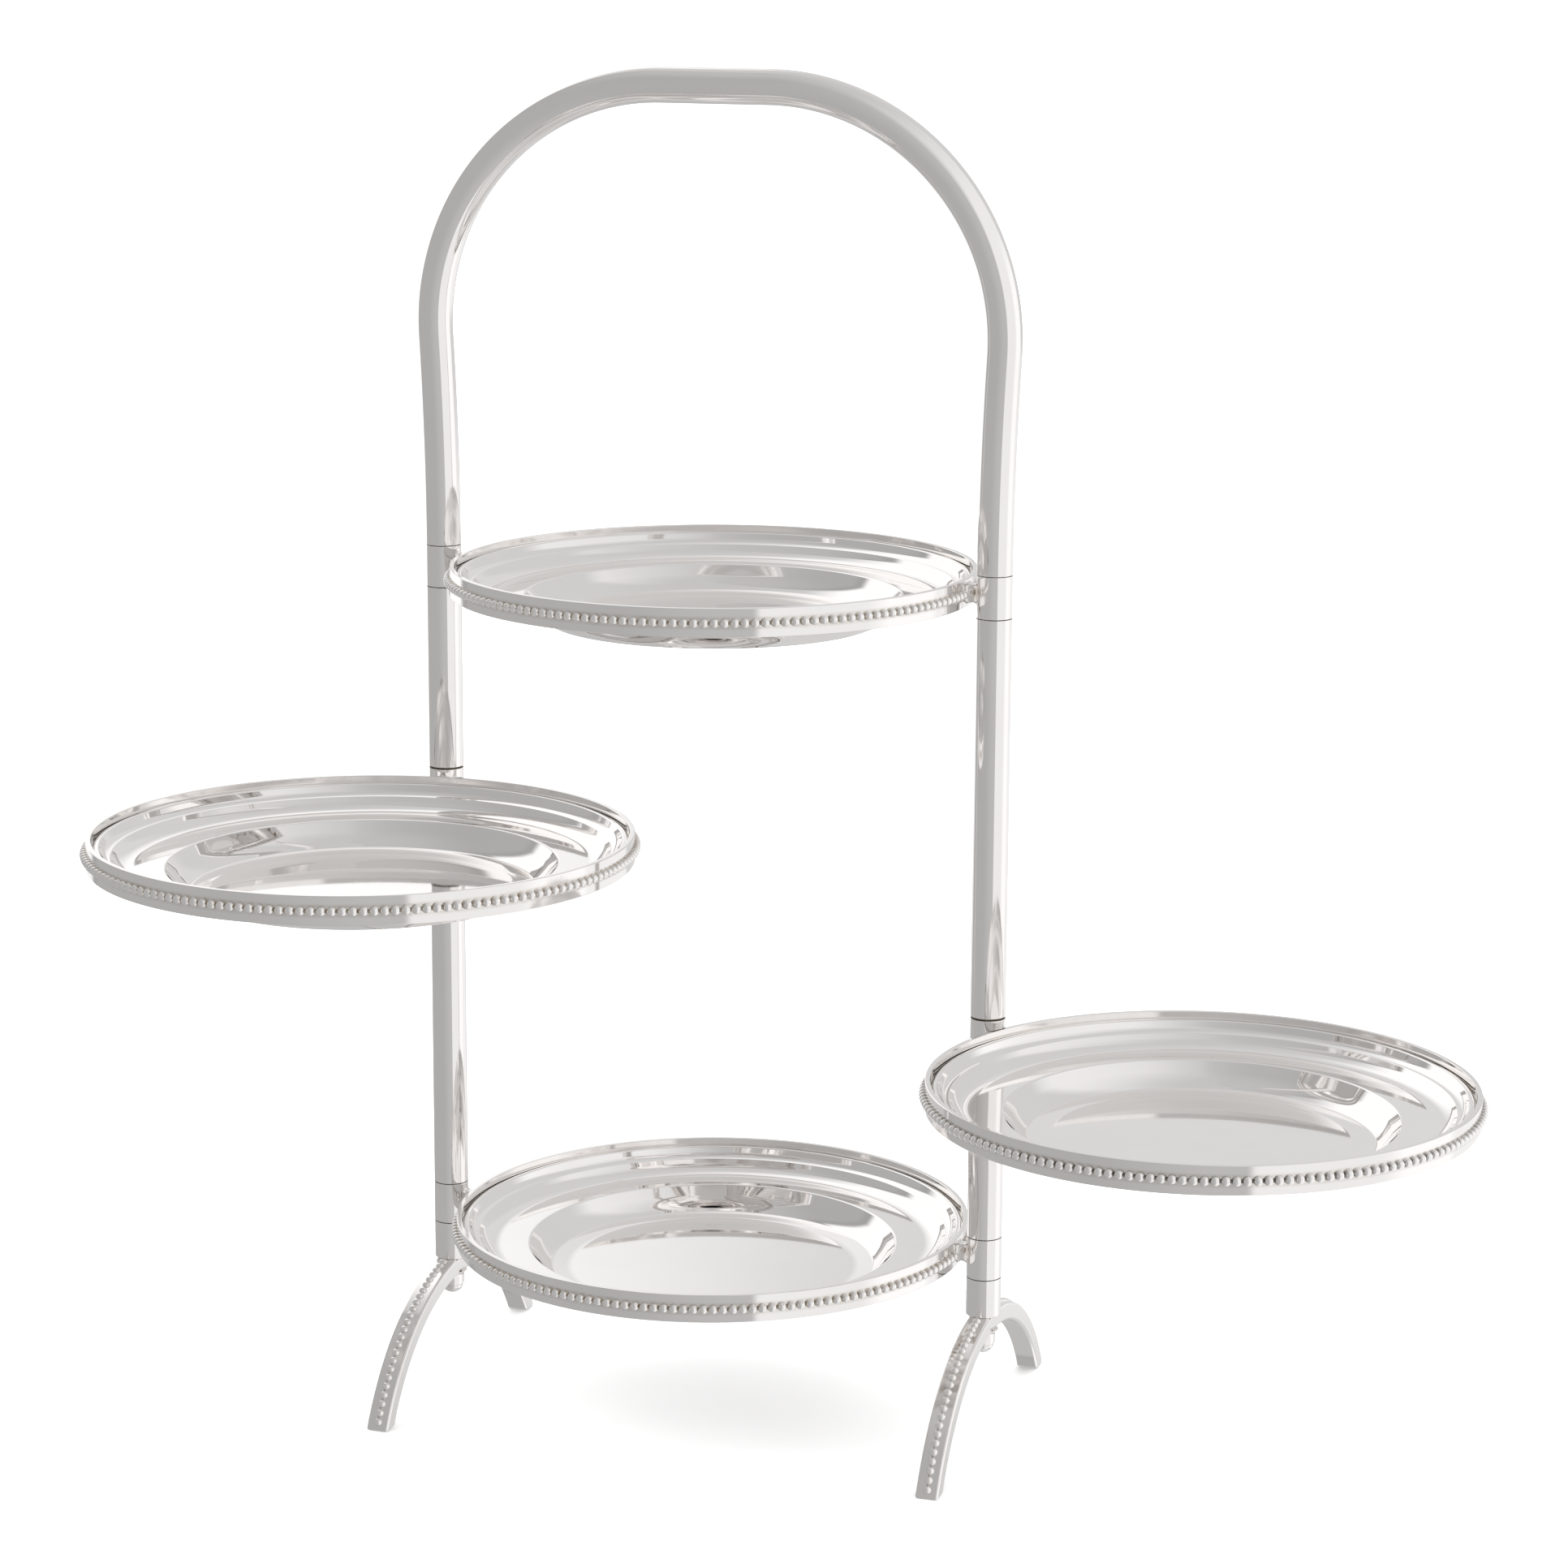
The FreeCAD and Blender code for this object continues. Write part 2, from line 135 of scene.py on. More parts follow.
def heights(node):
    """Lowest and highest point of a CAD node, in millimetres."""
    low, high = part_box(node)
    return low.z / MM, high.z / MM


def half_width(node):
    """Outer radius of a round CAD node, in millimetres."""
    low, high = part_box(node)
    return (high.x - low.x) / 2 / MM


def half_span():
    """Half the distance between the two posts, in millimetres."""
    return (middle("upper_tube_right").x - middle("upper_tube_left").x) / 2 / MM


def on_floor(point):
    """The place on the floor below a point."""
    return point.x, point.y, 0


# ---------------------------------------------------------------- sections and skins


def rounded(corners, fineness=math.radians(11)):
    """Section with rounded corners, counter-clockwise round its material.

    Each corner is across, up and the radius of its rounding. Gives (place, normal) pairs as
    complex numbers, across + up j, with the exact normal of the rounded outline.
    """
    places = [complex(across, up) for across, up, _ in corners]
    section = []
    for index, (_, _, radius) in enumerate(corners):
        corner = places[index]
        arriving = corner - places[index - 1]
        arriving /= abs(arriving)
        leaving = places[(index + 1) % len(places)] - corner
        leaving /= abs(leaving)
        if radius == 0:
            heading = leaving if index == 0 else arriving
            section.append((corner, heading * -1j))
            continue
        turn = cmath.phase(leaving / arriving)
        inward = 1j if turn > 0 else -1j
        start = corner - arriving * radius * math.tan(abs(turn) / 2)
        centre = start + arriving * inward * radius
        steps = max(2, math.ceil(abs(turn) / fineness), math.ceil(abs(turn) * radius / LONGEST_STEP))
        for step in range(steps + 1):
            swing = cmath.exp(1j * turn * step / steps)
            section.append((centre + (start - centre) * swing, arriving * -1j * swing))
    return section


def hoop(places, normals, shade_and_stain=0.0):
    """One ring of a skin: points, their normals, and how much tarnish and painted shade they get.

    That amount is one for the whole ring, or one for each point.
    """
    return np.asarray(places, float), np.asarray(normals, float), np.full(len(places), shade_and_stain, float)


def lathe(section, segments, shade_and_stain):
    """Hoops of a solid of revolution about the upright axis.

    The amount of tarnish and painted shade is a function of radius and height. A section that starts
    and ends on the axis closes there; any other section closes on itself.
    """
    angles = np.linspace(0, 2 * math.pi, segments, endpoint=False)
    hoops = []
    for place, normal in section:
        turn = angles if place.real > 0 else angles[:1]
        level = np.full(len(turn), place.imag)
        across = np.stack([np.cos(turn), np.sin(turn)])
        points = np.stack([place.real * across[0], place.real * across[1], level])
        slant = np.full(len(turn), normal.imag)
        normals = np.stack([normal.real * across[0], normal.real * across[1], slant])
        hoops.append(hoop(points.T, normals.T, shade_and_stain(place.real, place.imag)))
    if section[0][0].real > 0:
        hoops.append(hoops[0])
    return hoops


def piece(node, skins, material, centre, exact=True):
    """Mesh from lists of hoops, put at centre, standing for a CAD node and riding on its body.

    Each skin is a list of hoops in millimetres from centre. Hoops of one point close a skin.
    exact keeps the hoops' own normals; without it Blender works them out from the faces.
    """
    name = "polished_" + node
    points, normals, shades_and_stains, faces = [], [], [], []
    for hoops in skins:
        closed = hoops[0] is hoops[-1]
        first_face = len(faces)
        starts = []
        for places, directions, shade_and_stain in hoops[:-1] if closed else hoops:
            starts.append((len(points), len(places)))
            points.extend(places)
            normals.extend(directions)
            shades_and_stains.extend(shade_and_stain)
        if closed:
            starts.append(starts[0])
        for (low, low_count), (high, high_count) in zip(starts, starts[1:]):
            count = max(low_count, high_count)
            for index in range(count if low_count + high_count > 2 else 0):
                after = (index + 1) % count
                corners = [
                    low + index % low_count,
                    low + after % low_count,
                    high + after % high_count,
                    high + index % high_count,
                ]
                faces.append(tuple(dict.fromkeys(corners)))
        if not closed and starts[0][1] > 1:
            faces.append(tuple(starts[0][0] + index for index in reversed(range(starts[0][1]))))
            faces.append(tuple(starts[-1][0] + index for index in range(starts[-1][1])))
        if outwards(points, normals, faces[first_face]) < 0:
            faces[first_face:] = [face[::-1] for face in faces[first_face:]]
    mesh = bpy.data.meshes.new(name)
    mesh.from_pydata((np.array(points) * MM).tolist(), [], faces)
    mesh.shade_smooth()
    # Per-point amounts of tarnish and painted shade, read by the silver materials.
    tarnish_and_shade = mesh.attributes.new("tarnish_and_shade", "FLOAT", "POINT")
    tarnish_and_shade.data.foreach_set("value", np.array(shades_and_stains, np.float32))
    mesh.materials.append(material)
    mesh.update()
    if exact:
        mesh.normals_split_custom_set_from_vertices(np.array(normals).tolist())
    shown = bpy.data.objects.new(name, mesh)
    bpy.context.scene.collection.objects.link(shown)
    shown.location = centre
    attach(shown, BODY_OF[node])
    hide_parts(node)


def outwards(points, normals, face):
    """Positive where a face's winding agrees with the normals of its corners."""
    corners = [np.array(points[index]) for index in face]
    winding = np.cross(corners[1] - corners[0], corners[2] - corners[0])
    return float(winding @ sum(np.array(normals[index]) for index in face))


# ---------------------------------------------------------------- materials


class Nodes:
    """Short way to write one material's node tree."""

    def __init__(self, name):
        self.material = bpy.data.materials.new(name)
        self.material.use_nodes = True
        self.tree = self.material.node_tree
        self.shader = self.tree.nodes["Principled BSDF"]
        self.place = self.add("ShaderNodeTexCoord").outputs["Object"]

    def add(self, kind, inputs=None, **settings):
        node = self.tree.nodes.new(kind)
        for key, value in settings.items():
            setattr(node, key, value)
        for key, value in (inputs or {}).items():
            if isinstance(value, bpy.types.NodeSocket):
                self.tree.links.new(value, node.inputs[key])
            else:
                node.inputs[key].default_value = value
        return node

    def noise(self, place, scale, detail=2.0, rough=0.5):
        inputs = {"Vector": place, "Scale": scale, "Detail": detail, "Roughness": rough}
        return self.add("ShaderNodeTexNoise", inputs).outputs["Fac"]

    def stretched(self, scale):
        """Object coordinates, stretched along an axis by a small scale on it."""
        inputs = {"Vector": self.place, "Scale": scale}
        return self.add("ShaderNodeMapping", inputs).outputs["Vector"]

    def spread(self, value, low, high, from_low=0.0, from_high=1.0):
        inputs = {
            "Value": value,
            "From Min": from_low,
            "From Max": from_high,
            "To Min": low,
            "To Max": high,
        }
        return self.add("ShaderNodeMapRange", inputs).outputs["Result"]

    def maths(self, operation, first, second):
        return self.add("ShaderNodeMath", {0: first, 1: second}, operation=operation).outputs[0]

    def mix(self, share, first, second):
        """Colour that runs from first to second as share goes from 0 to 1."""
        node = self.add("ShaderNodeMix", data_type="RGBA")
        self.tree.links.new(share, node.inputs["Factor"])
        for socket, colour in ((node.inputs[6], first), (node.inputs[7], second)):
            if isinstance(colour, bpy.types.NodeSocket):
                self.tree.links.new(colour, socket)
            else:
                socket.default_value = (*colour, 1.0)
        return node.outputs[2]

    def bump(self, height, distance, under=None):
        """Bump whose height of 1 stands distance metres proud, on top of another bump."""
        inputs = {"Height": height, "Distance": distance, "Strength": 1.0}
        if under is not None:
            inputs["Normal"] = under
        return self.add("ShaderNodeBump", inputs).outputs["Normal"]

    def plug(self, **sockets):
        for name, value in sockets.items():
            self.tree.links.new(value, self.shader.inputs[name.replace("_", " ")])


SILVER = (0.960, 0.940, 0.929)
SILVER_DIM = (0.932, 0.909, 0.893)
# Tarnish colours that also paint shade into joints, creases and bead gaps; the dark one is the shade
# of the deepest gaps.
TARNISH_AND_SHADE = (0.50, 0.43, 0.34)
DARK_TARNISH_AND_SHADE = (0.20, 0.175, 0.145)


def silver(name, grain, lowest=0.045, highest=0.085, wave=2.2e-5, stain_and_shade_amount=0.5, tarnish_and_shade=TARNISH_AND_SHADE):
    """Polished silver plate: slow hand-polished waves, fine polish lines, warm tarnish and painted
    shade in corners and joints.

    grain gives the polish lines as a height from the material's nodes.
    """
    nodes = Nodes(name)
    nodes.shader.inputs["Metallic"].default_value = 1.0
    clouds = nodes.noise(nodes.place, 18.0, 4.0, 0.6)
    smears = nodes.noise(nodes.place, 260.0, 5.0, 0.65)
    lines = grain(nodes)
    marks = nodes.add("ShaderNodeAttribute", attribute_name="tarnish_and_shade").outputs["Fac"]
    patches = nodes.spread(smears, 0.35, 1.25, 0.3, 0.7)
    # Painted shade and real tarnish, where the mesh's amounts mark corners, joints and gaps between
    # beads.
    corner = nodes.maths("MULTIPLY", nodes.maths("MULTIPLY", marks, patches), stain_and_shade_amount)
    film = nodes.mix(nodes.spread(clouds, 0.0, 1.0, 0.35, 0.75), SILVER, SILVER_DIM)
    nodes.plug(Base_Color=nodes.mix(corner, film, tarnish_and_shade))
    polish = nodes.spread(nodes.maths("MULTIPLY", smears, lines), lowest, highest, 0.1, 0.45)
    nodes.plug(Roughness=nodes.maths("ADD", polish, nodes.maths("MULTIPLY", corner, 0.25)))
    waves = nodes.bump(nodes.noise(nodes.place, 30.0, 1.0, 0.4), wave)
    nodes.plug(Normal=nodes.bump(lines, 4.0e-7, waves))
    return nodes.material


def lengthwise(nodes):
    """Polish lines along an upright tube."""
    return nodes.noise(nodes.stretched((2600.0, 2600.0, 60.0)), 1.0, 2.0, 0.6)


def crosswise(nodes):
    """Polish marks of a cloth wheel, in no one direction."""
    return nodes.noise(nodes.stretched((900.0, 1400.0, 700.0)), 1.0, 3.0, 0.6)


def spun(nodes):
    """Rings that a spinning lathe leaves round the axis of a dish."""
    flat = nodes.add("ShaderNodeVectorMath", {0: nodes.place, 1: (1, 1, 0)}, operation="MULTIPLY")
    radius = nodes.add("ShaderNodeVectorMath", {0: flat.outputs[0]}, operation="LENGTH")
    return nodes.add(
        "ShaderNodeTexNoise",
        {"W": radius.outputs["Value"], "Scale": 1900.0, "Detail": 3.0},
        noise_dimensions="1D",
    ).outputs["Fac"]


def plain_metal(name, colour, dark, roughness, scale):
    """Unpolished working metal with turning marks, for the pieces inside the posts."""
    nodes = Nodes(name)
    nodes.shader.inputs["Metallic"].default_value = 1.0
    turning = nodes.noise(nodes.stretched((40.0, 40.0, scale)), 1.0, 3.0)
    blotches = nodes.noise(nodes.place, 220.0, 4.0)
    nodes.plug(Base_Color=nodes.mix(blotches, colour, dark))
    nodes.plug(Roughness=nodes.spread(turning, roughness * 0.7, roughness * 1.3))
    nodes.plug(Normal=nodes.bump(turning, 8.0e-6))
    return nodes.material


# Each silver's tarnish amount and colour also paint shade into joints, creases and bead gaps; the
# tube joints and the right tier's beads are darkest.
TUBE_SILVER = silver("silver_tube", lengthwise, stain_and_shade_amount=1.0, tarnish_and_shade=DARK_TARNISH_AND_SHADE)
DISH_SILVER = silver("silver_spun_dish", spun, lowest=0.025, highest=0.06, wave=1.6e-5)
BAND_SILVER = silver("silver_band", crosswise, wave=1.2e-5)
CAST_SILVER = silver("silver_cast", crosswise, lowest=0.06, highest=0.11, wave=3.0e-5, stain_and_shade_amount=0.35)
BEAD_SILVER = silver("silver_beads", crosswise, highest=0.1, stain_and_shade_amount=1.0)
DARK_BEAD_SILVER = silver(
    "silver_dark_beads", crosswise, highest=0.1, stain_and_shade_amount=1.1, tarnish_and_shade=DARK_TARNISH_AND_SHADE
)
STEEL = plain_metal("steel_rod", (0.58, 0.58, 0.57), (0.46, 0.46, 0.45), 0.32, 2400.0)
BRASS = plain_metal("turned_brass", (0.83, 0.64, 0.33), (0.66, 0.48, 0.22), 0.28, 1800.0)
WORN_BRASS = plain_metal("worn_brass", (0.27, 0.23, 0.17), (0.16, 0.13, 0.10), 0.45, 1800.0)


# ---------------------------------------------------------------- posts


def turned(node, outline, shade_and_stain):
    """Turned piece of a post. The outline's heights are above the floor."""
    skin = lathe(rounded(outline), POST_SEGMENTS, shade_and_stain)
    piece(node, [skin], TUBE_SILVER, on_floor(middle(node)))


def joint_stain_and_shade(low, high):
    """Tarnish and painted shade that creep a little way out of the joints at both ends of a tube."""

    def amount(_, height):
        return JOINT_STAIN_AND_SHADE if min(height - low, high - height) < EDGE_ROUND * 0.6 else 0.0

    return amount


def wall(low, high, outer):
    """Outline points up the outside of a tube, with plain stretches near both rounded ends."""
    return [
        (outer, low, EDGE_ROUND),
        (outer, low + END_PLAIN, 0),
        (outer, high - END_PLAIN, 0),
        (outer, high, EDGE_ROUND),
    ]


def post_tube(node, bore=TUBE_BORE):
    """Tube or sleeve with rounded ends."""
    low, high = heights(node)
    outline = [(bore, low, 0.1)] + wall(low, high, half_width(node)) + [(bore, high, 0.1)]
    turned(node, outline, joint_stain_and_shade(low, high))


def post_collar(node):
    """Fixed collar: a silver band of the post with a spigot at each end inside the tubes."""
    spigot_low, spigot_high = heights(node)
    low, high = spigot_low + SPIGOT_LONG, spigot_high - SPIGOT_LONG
    outline = [(ROD_BORE, spigot_low, 0.1), (SPIGOT, spigot_low, 0.2), (SPIGOT, low, 0.1)]
    outline += wall(low, high, half_width(node))
    outline += [(SPIGOT, high, 0.1), (SPIGOT, spigot_high, 0.2), (ROD_BORE, spigot_high, 0.1)]
    turned(node, outline, joint_stain_and_shade(low, high))


def blind_nut(side):
    """Domed nut that closes the post below the leg."""
    node = "domed_nut_" + side
    low, high = heights(node)
    closed = low + NUT_CLOSED
    edge = 0.35
    rise = NUT_SHOULDER - low
    dome = (NUT_OUTER ** 2 + rise ** 2) / (2 * rise)
    reach = math.asin((NUT_OUTER - 0.3) / dome)
    steps = 10
    section = []
    for step in range(steps + 1):
        swing = cmath.exp(1j * (reach * step / steps - math.pi / 2))
        section.append((complex(0, low + dome) + dome * swing, swing))
    section[0] = (complex(0, low), -1j)
    outline = [
        (0, low, 0),
        (NUT_OUTER, NUT_SHOULDER - 0.1, edge),
        (NUT_OUTER, high, edge),
        (NUT_BORE, high, 0.2),
        (NUT_BORE, closed, 0.1),
        (0.01, closed, 0),
    ]
    section += rounded(outline)[1:]
    section[-1] = (complex(0, closed), 1j)
    # Tarnish and painted shade at the top, where the nut meets the tube.
    skin = lathe(section, CAST_SEGMENTS, lambda _, height: 0.8 if height > high - 0.5 else 0.0)
    piece(node, [skin], CAST_SILVER, on_floor(middle(node)))


for side in SIDES:
    for tube in ("upper_tube_", "lower_tube_", "stub_tube_"):
        post_tube(tube + side)
    post_tube("pivot_collar_" + side, bore=TURNING_BORE)
    for collar in ("top_collar_", "bottom_collar_"):
        post_collar(collar + side)
    blind_nut(side)


# ---------------------------------------------------------------- handle


def arch_stations():
    """Points and directions along the handle's centre line, from its left foot to its right.

    Each is (place, heading) as complex numbers, across + up j from the middle of the stand.
    """
    low, high = heights("arch_handle")
    half = half_span()
    crown = high - half_width("upper_tube_left")
    bend_centre_z = crown - ARCH_BEND
    leg_end_z = (bend_centre_z + low * ARCH_BEND / ARCH_BOW) / (1 + ARCH_BEND / ARCH_BOW)
    tilt = math.asin((leg_end_z - low) / ARCH_BOW)
    leg_end_x = half + ARCH_BOW * (1 - math.cos(tilt))
    bend_centre = complex(leg_end_x - ARCH_BEND * math.cos(tilt), bend_centre_z)
    right = []
    for angle in np.linspace(0, tilt, 10, endpoint=False):
        swing = cmath.exp(-1j * angle)
        right.append((complex(half + ARCH_BOW, low) - ARCH_BOW * swing, 1j * swing))
    for angle in np.linspace(-tilt, math.pi / 2, 65):
        swing = cmath.exp(1j * angle)
        right.append((bend_centre + ARCH_BEND * swing, 1j * swing))
    left = [(-place.conjugate(), -heading.conjugate()) for place, heading in right]
    return left + [(place, -heading) for place, heading in reversed(right)]


def arch_handle():
    """Bent tube over both posts, with rounded ends and its real bore."""
    stations = arch_stations()
    around = 72
    angles = np.linspace(0, 2 * math.pi, around, endpoint=False)
    quarter = math.pi / 2
    eases = [quarter * step / 4 for step in range(5)]

    def round_tube(place, heading, radius, lean, shade_and_stain=0.0):
        """Hoop of one radius. lean turns its normals from straight out to along the tube."""
        side = heading * -1j
        out = np.stack([np.cos(angles) * side.real, np.sin(angles), np.cos(angles) * side.imag], 1)
        along = np.array([heading.real, 0, heading.imag])
        normals = out * math.cos(lean) + along * math.sin(lean)
        return hoop(np.array([place.real, 0, place.imag]) + radius * out, normals, shade_and_stain)

    def round_end(place, heading, end, lean):
        """Hoop of the rounded outer edge at the first end, -1, or the last, 1."""
        place = place - end * heading * EDGE_ROUND * (1 - math.sin(lean))
        radius = TUBE_OUTER - EDGE_ROUND * (1 - math.cos(lean))
        # The end's rounding gets tarnish and painted shade, where the handle meets the post.
        return round_tube(place, heading, radius, end * lean, float(lean > 0.8))

    hoops = [round_end(*stations[0], -1, lean) for lean in reversed(eases)]
    hoops += [round_tube(*station, TUBE_OUTER, 0) for station in stations[1:-1]]
    hoops += [round_end(*stations[-1], 1, lean) for lean in eases]
    hoops.append(round_tube(*stations[-1], TUBE_BORE + 0.1, quarter, 1.0))
    hoops += [round_tube(*station, TUBE_BORE, math.pi) for station in stations[::-1]]
    hoops.append(round_tube(*stations[0], TUBE_BORE + 0.1, -quarter, 1.0))
    hoops.append(hoops[0])
    centre = (middle("upper_tube_left") + middle("upper_tube_right")) / 2
    piece("arch_handle", [hoops], TUBE_SILVER, on_floor(centre))


arch_handle()


# ---------------------------------------------------------------- bead rows


def bead_row(count, bead, neck, radius, start, end, centre, first_axis, second_axis, around=14):
    """Hoops of a row of beads on an arc, joined by short necks.

    The arc runs from the angle start to the angle end, from first_axis towards second_axis.
    """
    centre, first_axis, second_axis = map(np.array, (centre, first_axis, second_axis))
    pitch = (end - start) / count
    neck_angle = math.asin(neck / bead)
    angles = np.linspace(0, 2 * math.pi, around, endpoint=False)
    upright = np.cross(second_axis, first_axis)
    hoops = []

    def station(middle_angle, lean):
        """Hoop round a bead, from its start at a lean of 0 to its end at half a turn."""
        angle = middle_angle - bead * math.cos(lean) / radius
        out = math.cos(angle) * first_axis + math.sin(angle) * second_axis
        heading = -math.sin(angle) * first_axis + math.cos(angle) * second_axis
        count_here = around if math.sin(lean) > 1e-6 else 1
        turn = angles[:count_here, None]
        spoke = np.cos(turn) * out + np.sin(turn) * upright
        places = centre + radius * out + bead * math.sin(lean) * spoke
        normals = math.sin(lean) * spoke - math.cos(lean) * heading
        # Tarnish and painted shade, heaviest in the necks between beads and on the half towards the
        # band.
        facing = np.clip(np.cos(turn[:, 0]), 0, 1)
        tarnish_and_shade = np.clip(1.5 - 2.3 * math.sin(lean) * (0.5 + 0.5 * facing), 0, 1)
        return hoop(places, normals, tarnish_and_shade)

    leans = np.linspace(neck_angle, math.pi - neck_angle, 9)
    for index in range(count):
        middle_angle = start + (index + 0.5) * pitch
        if index == 0:
            hoops.append(station(middle_angle, 0.0))
        for lean in leans:
            hoops.append(station(middle_angle, lean))
        if index == count - 1:
            hoops.append(station(middle_angle, math.pi))
    return hoops


# ---------------------------------------------------------------- tiers


def collar_directions(tier):
    """Directions from a tier's centre to its collars."""
    centre = middle(tier + "_ring")
    if tier in SIDES:
        collars = ["pivot_collar_" + tier]
    else:
        collars = [tier + "_collar_right", tier + "_collar_left"]
    spans = [middle(collar) - centre for collar in collars]
    return [math.atan2(span.y, span.x) for span in spans]


def tier_ring(tier):
    """Band with eased edges and the narrow ledge inside that carries the dish."""
    node = tier + "_ring"
    low, high = heights(node)
    outer = half_width(node)
    inner = outer - BAND_THICK
    ledge = high - LEDGE_DROP
    centre_line = (low + high) / 2
    bead_bed, bed_edge = 2.1, 3.2
    outline = [
        (inner, low, 0.4),
        (outer, low, 0.45),
        (outer, centre_line - bed_edge, 0),
        (outer, centre_line - bead_bed, 0),
        (outer, centre_line + bead_bed, 0),
        (outer, centre_line + bed_edge, 0),
        (outer, high, 0.45),
        (inner, high, 0.4),
        (inner, ledge + 2.4, 0),
        (inner, ledge, 0.3),
        (inner - LEDGE_WIDE, ledge, 0.3),
        (inner - LEDGE_WIDE, ledge - LEDGE_THICK, 0.3),
        (inner, ledge - LEDGE_THICK, 0.3),
    ]

    # Tarnish and painted shade behind the bead row and round the ledge under the dish, a little over
    # the inner face.
    def shade_and_stain(radius, height):
        if radius > outer - 0.01:
            return 0.7 if abs(height - centre_line) < 2.5 else 0.0
        return 0.8 if ledge - 0.2 < height < ledge + 1.0 else 0.15

    skin = lathe(rounded(outline), TIER_SEGMENTS, shade_and_stain)
    piece(node, [skin], BAND_SILVER, on_floor(middle(node)))


def tier_beads(tier):
    """Bead row round the band, with a plain gap at each collar; tarnish and painted shade in its
    gaps, darkest on the right.
    """
    node = tier + "_bead_trim"
    centre = middle(tier + "_ring")
    radius = half_width(tier + "_ring") + BEAD_STAND
    directions = collar_directions(tier)
    sweep = 2 * math.pi / len(directions) - 2 * BEAD_GAP
    count = round(sweep * radius / BEAD_PITCH)
    skins = []
    for direction in directions:
        start = direction + BEAD_GAP
        arc = (radius, start, start + sweep, (0, 0, centre.z / MM), (1, 0, 0), (0, 1, 0))
        skins.append(bead_row(count, BEAD_RADIUS, BEAD_NECK, *arc))
    material = DARK_BEAD_SILVER if tier == "right" else BEAD_SILVER
    piece(node, skins, material, on_floor(centre))


def tier_lugs(tier):
    """Brazed lugs from the band to each collar, flared where the solder has run."""
    directions = collar_directions(tier)
    node = tier + ("_lugs" if len(directions) > 1 else "_lug")
    ring = tier + "_ring"
    band = half_width(ring) - LUG_SUNK
    reach = half_span()
    level = heights(ring)[1] - LUG_DROP - LUG_TALL / 2
    skins = []
    for direction in directions:
        hoops = []
        for share in np.linspace(0, 1, 13):
            towards_end = abs(2 * share - 1)
            pinch = LUG_FLARE * (1 - towards_end ** 3)
            half_wide = LUG_WIDE / 2 - pinch
            half_tall = LUG_TALL / 2 - pinch
            corners = [
                (-half_wide, -half_tall, LUG_ROUND),
                (half_wide, -half_tall, LUG_ROUND),
                (half_wide, half_tall, LUG_ROUND),
                (-half_wide, half_tall, LUG_ROUND),
            ]
            places, normals = [], []
            for place, normal in rounded(corners):
                at_band = math.sqrt(band ** 2 - place.real ** 2)
                at_collar = reach - math.sqrt(LUG_COLLAR ** 2 - place.real ** 2)
                out = at_band + (at_collar - at_band) * share
                turned_place = complex(out, place.real) * cmath.exp(1j * direction)
                turned_normal = complex(0, normal.real) * cmath.exp(1j * direction)
                places.append((turned_place.real, turned_place.imag, level + place.imag))
                normals.append((turned_normal.real, turned_normal.imag, normal.imag))
            # Tarnish and painted shade, most where the lug meets the band and the collar.
            hoops.append(hoop(places, normals, 0.35 + 0.65 * towards_end))
        skins.append(hoops)
    piece(node, skins, CAST_SILVER, on_floor(middle(ring)), exact=False)


def tier_dish(tier):
    """Spun dish: rolled rim, small step, cove, flat brim and a well with a flat floor.

    Each corner is its radius, its drop below the rim and its rounding.
    """
    node = tier + "_dish"
    rim = heights(node)[1]
    back = [
        (0, 23.2, 0),
        (66.2, 23.2, 24),
        (75.0, 22.05, 3.2),
        (79.7, 18.65, 31),
        (85.6, 11.45, 2.3),
        (103.4, 11.4, 13),
        (108.6, 5.9, 1.4),
        (111.2, 5.1, 4.0),
        (112.9, 2.45, 0.25),
    ]
    face = [
        (115.2, 2.45, 1.15),
        (115.2, 0, 1.15),
        (113.0, 0, 1.1),
        (110.5, 4.1, 5.0),
        (108.1, 4.9, 0.7),
        (103.0, 10.4, 12),
        (85.0, 10.6, 1.3),
        (79.0, 17.9, 30),
        (74.6, 21.1, 2.2),
        (66.5, 22.2, 24),
        (0, 22.2, 0),
    ]
    outline = [(radius, rim - drop, rounding) for radius, drop, rounding in back + face]

    # Tarnish and painted shade under the rolled rim.
    def shade_and_stain(radius, height):
        return 0.5 if radius > 112.5 and height < rim - 1.6 else 0.0

    skin = lathe(rounded(outline, math.radians(9)), TIER_SEGMENTS, shade_and_stain)
    piece(node, [skin], DISH_SILVER, on_floor(middle(node)))


for tier in TIERS:
    tier_ring(tier)
    tier_beads(tier)
    tier_lugs(tier)
    tier_dish(tier)


# ---------------------------------------------------------------- legs


